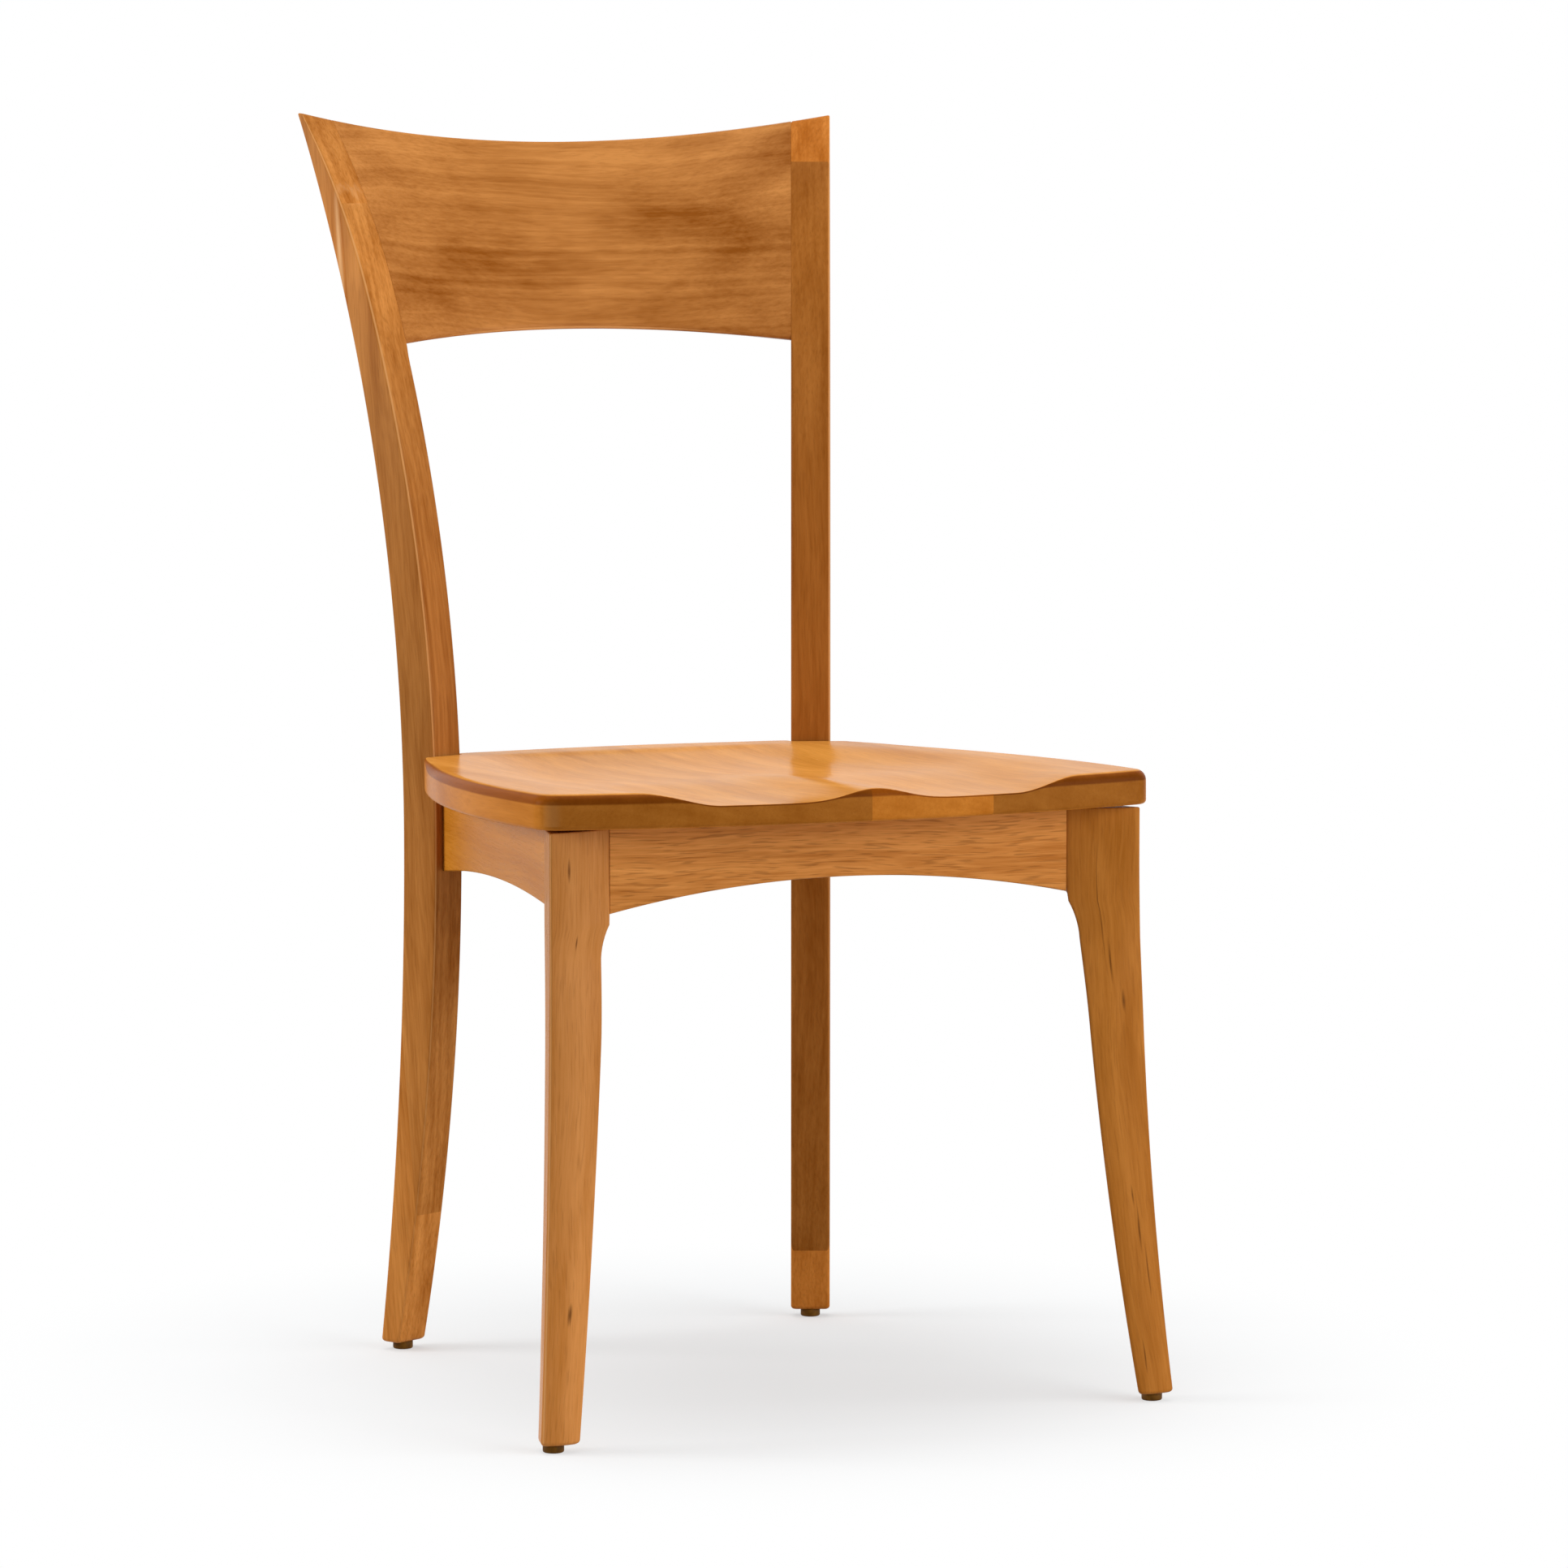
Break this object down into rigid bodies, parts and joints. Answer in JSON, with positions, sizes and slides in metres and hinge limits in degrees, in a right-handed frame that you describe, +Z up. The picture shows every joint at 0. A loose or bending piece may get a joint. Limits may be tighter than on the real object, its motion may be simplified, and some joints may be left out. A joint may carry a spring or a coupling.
{
  "type": "wooden side chair",
  "caption": "Wooden side chair with a scooped saddle seat, splayed sabre back posts, a curved crest rail, tapered front legs and arched aprons.",
  "frame": {"origin": "on the floor, under the middle of the chair's outline in plan", "axes": "+Z up, -Y towards the front of the seat, +X towards the sitter's left hand, seen from the front as the right"},
  "size_m": [0.4978, 0.5834, 0.9271],
  "materials": {
    "seat_wood": "satin lacquer",
    "frame_wood": "satin lacquer",
    "block_wood": "sawn, unfinished",
    "fastener_steel": "zinc plated",
    "glide_plastic": "matte"
  },
  "bodies": {
    "root": {"back_post_left_main": "frame_wood", "back_post_left_foot": "frame_wood", "back_post_left_head": "frame_wood", "back_post_right_main": "frame_wood", "back_post_right_foot": "frame_wood", "back_post_right_head": "frame_wood", "crest_rail": "frame_wood", "front_leg_left": "frame_wood", "front_leg_right": "frame_wood", "front_apron": "frame_wood", "side_apron_left": "frame_wood", "side_apron_right": "frame_wood", "rear_apron": "frame_wood", "seat_board_1": "seat_wood", "seat_board_2": "seat_wood", "seat_board_3": "seat_wood", "seat_board_4": "seat_wood", "corner_block_front_left": "block_wood", "corner_block_front_right": "block_wood", "corner_block_rear_left": "block_wood", "corner_block_rear_right": "block_wood", "crest_dowels": "block_wood", "corner_block_screws": "fastener_steel", "seat_screws": "fastener_steel", "glide_nails": "fastener_steel", "floor_glide_front_left": "glide_plastic", "floor_glide_front_right": "glide_plastic", "floor_glide_rear_left": "glide_plastic", "floor_glide_rear_right": "glide_plastic"}
  },
  "joints": []
}
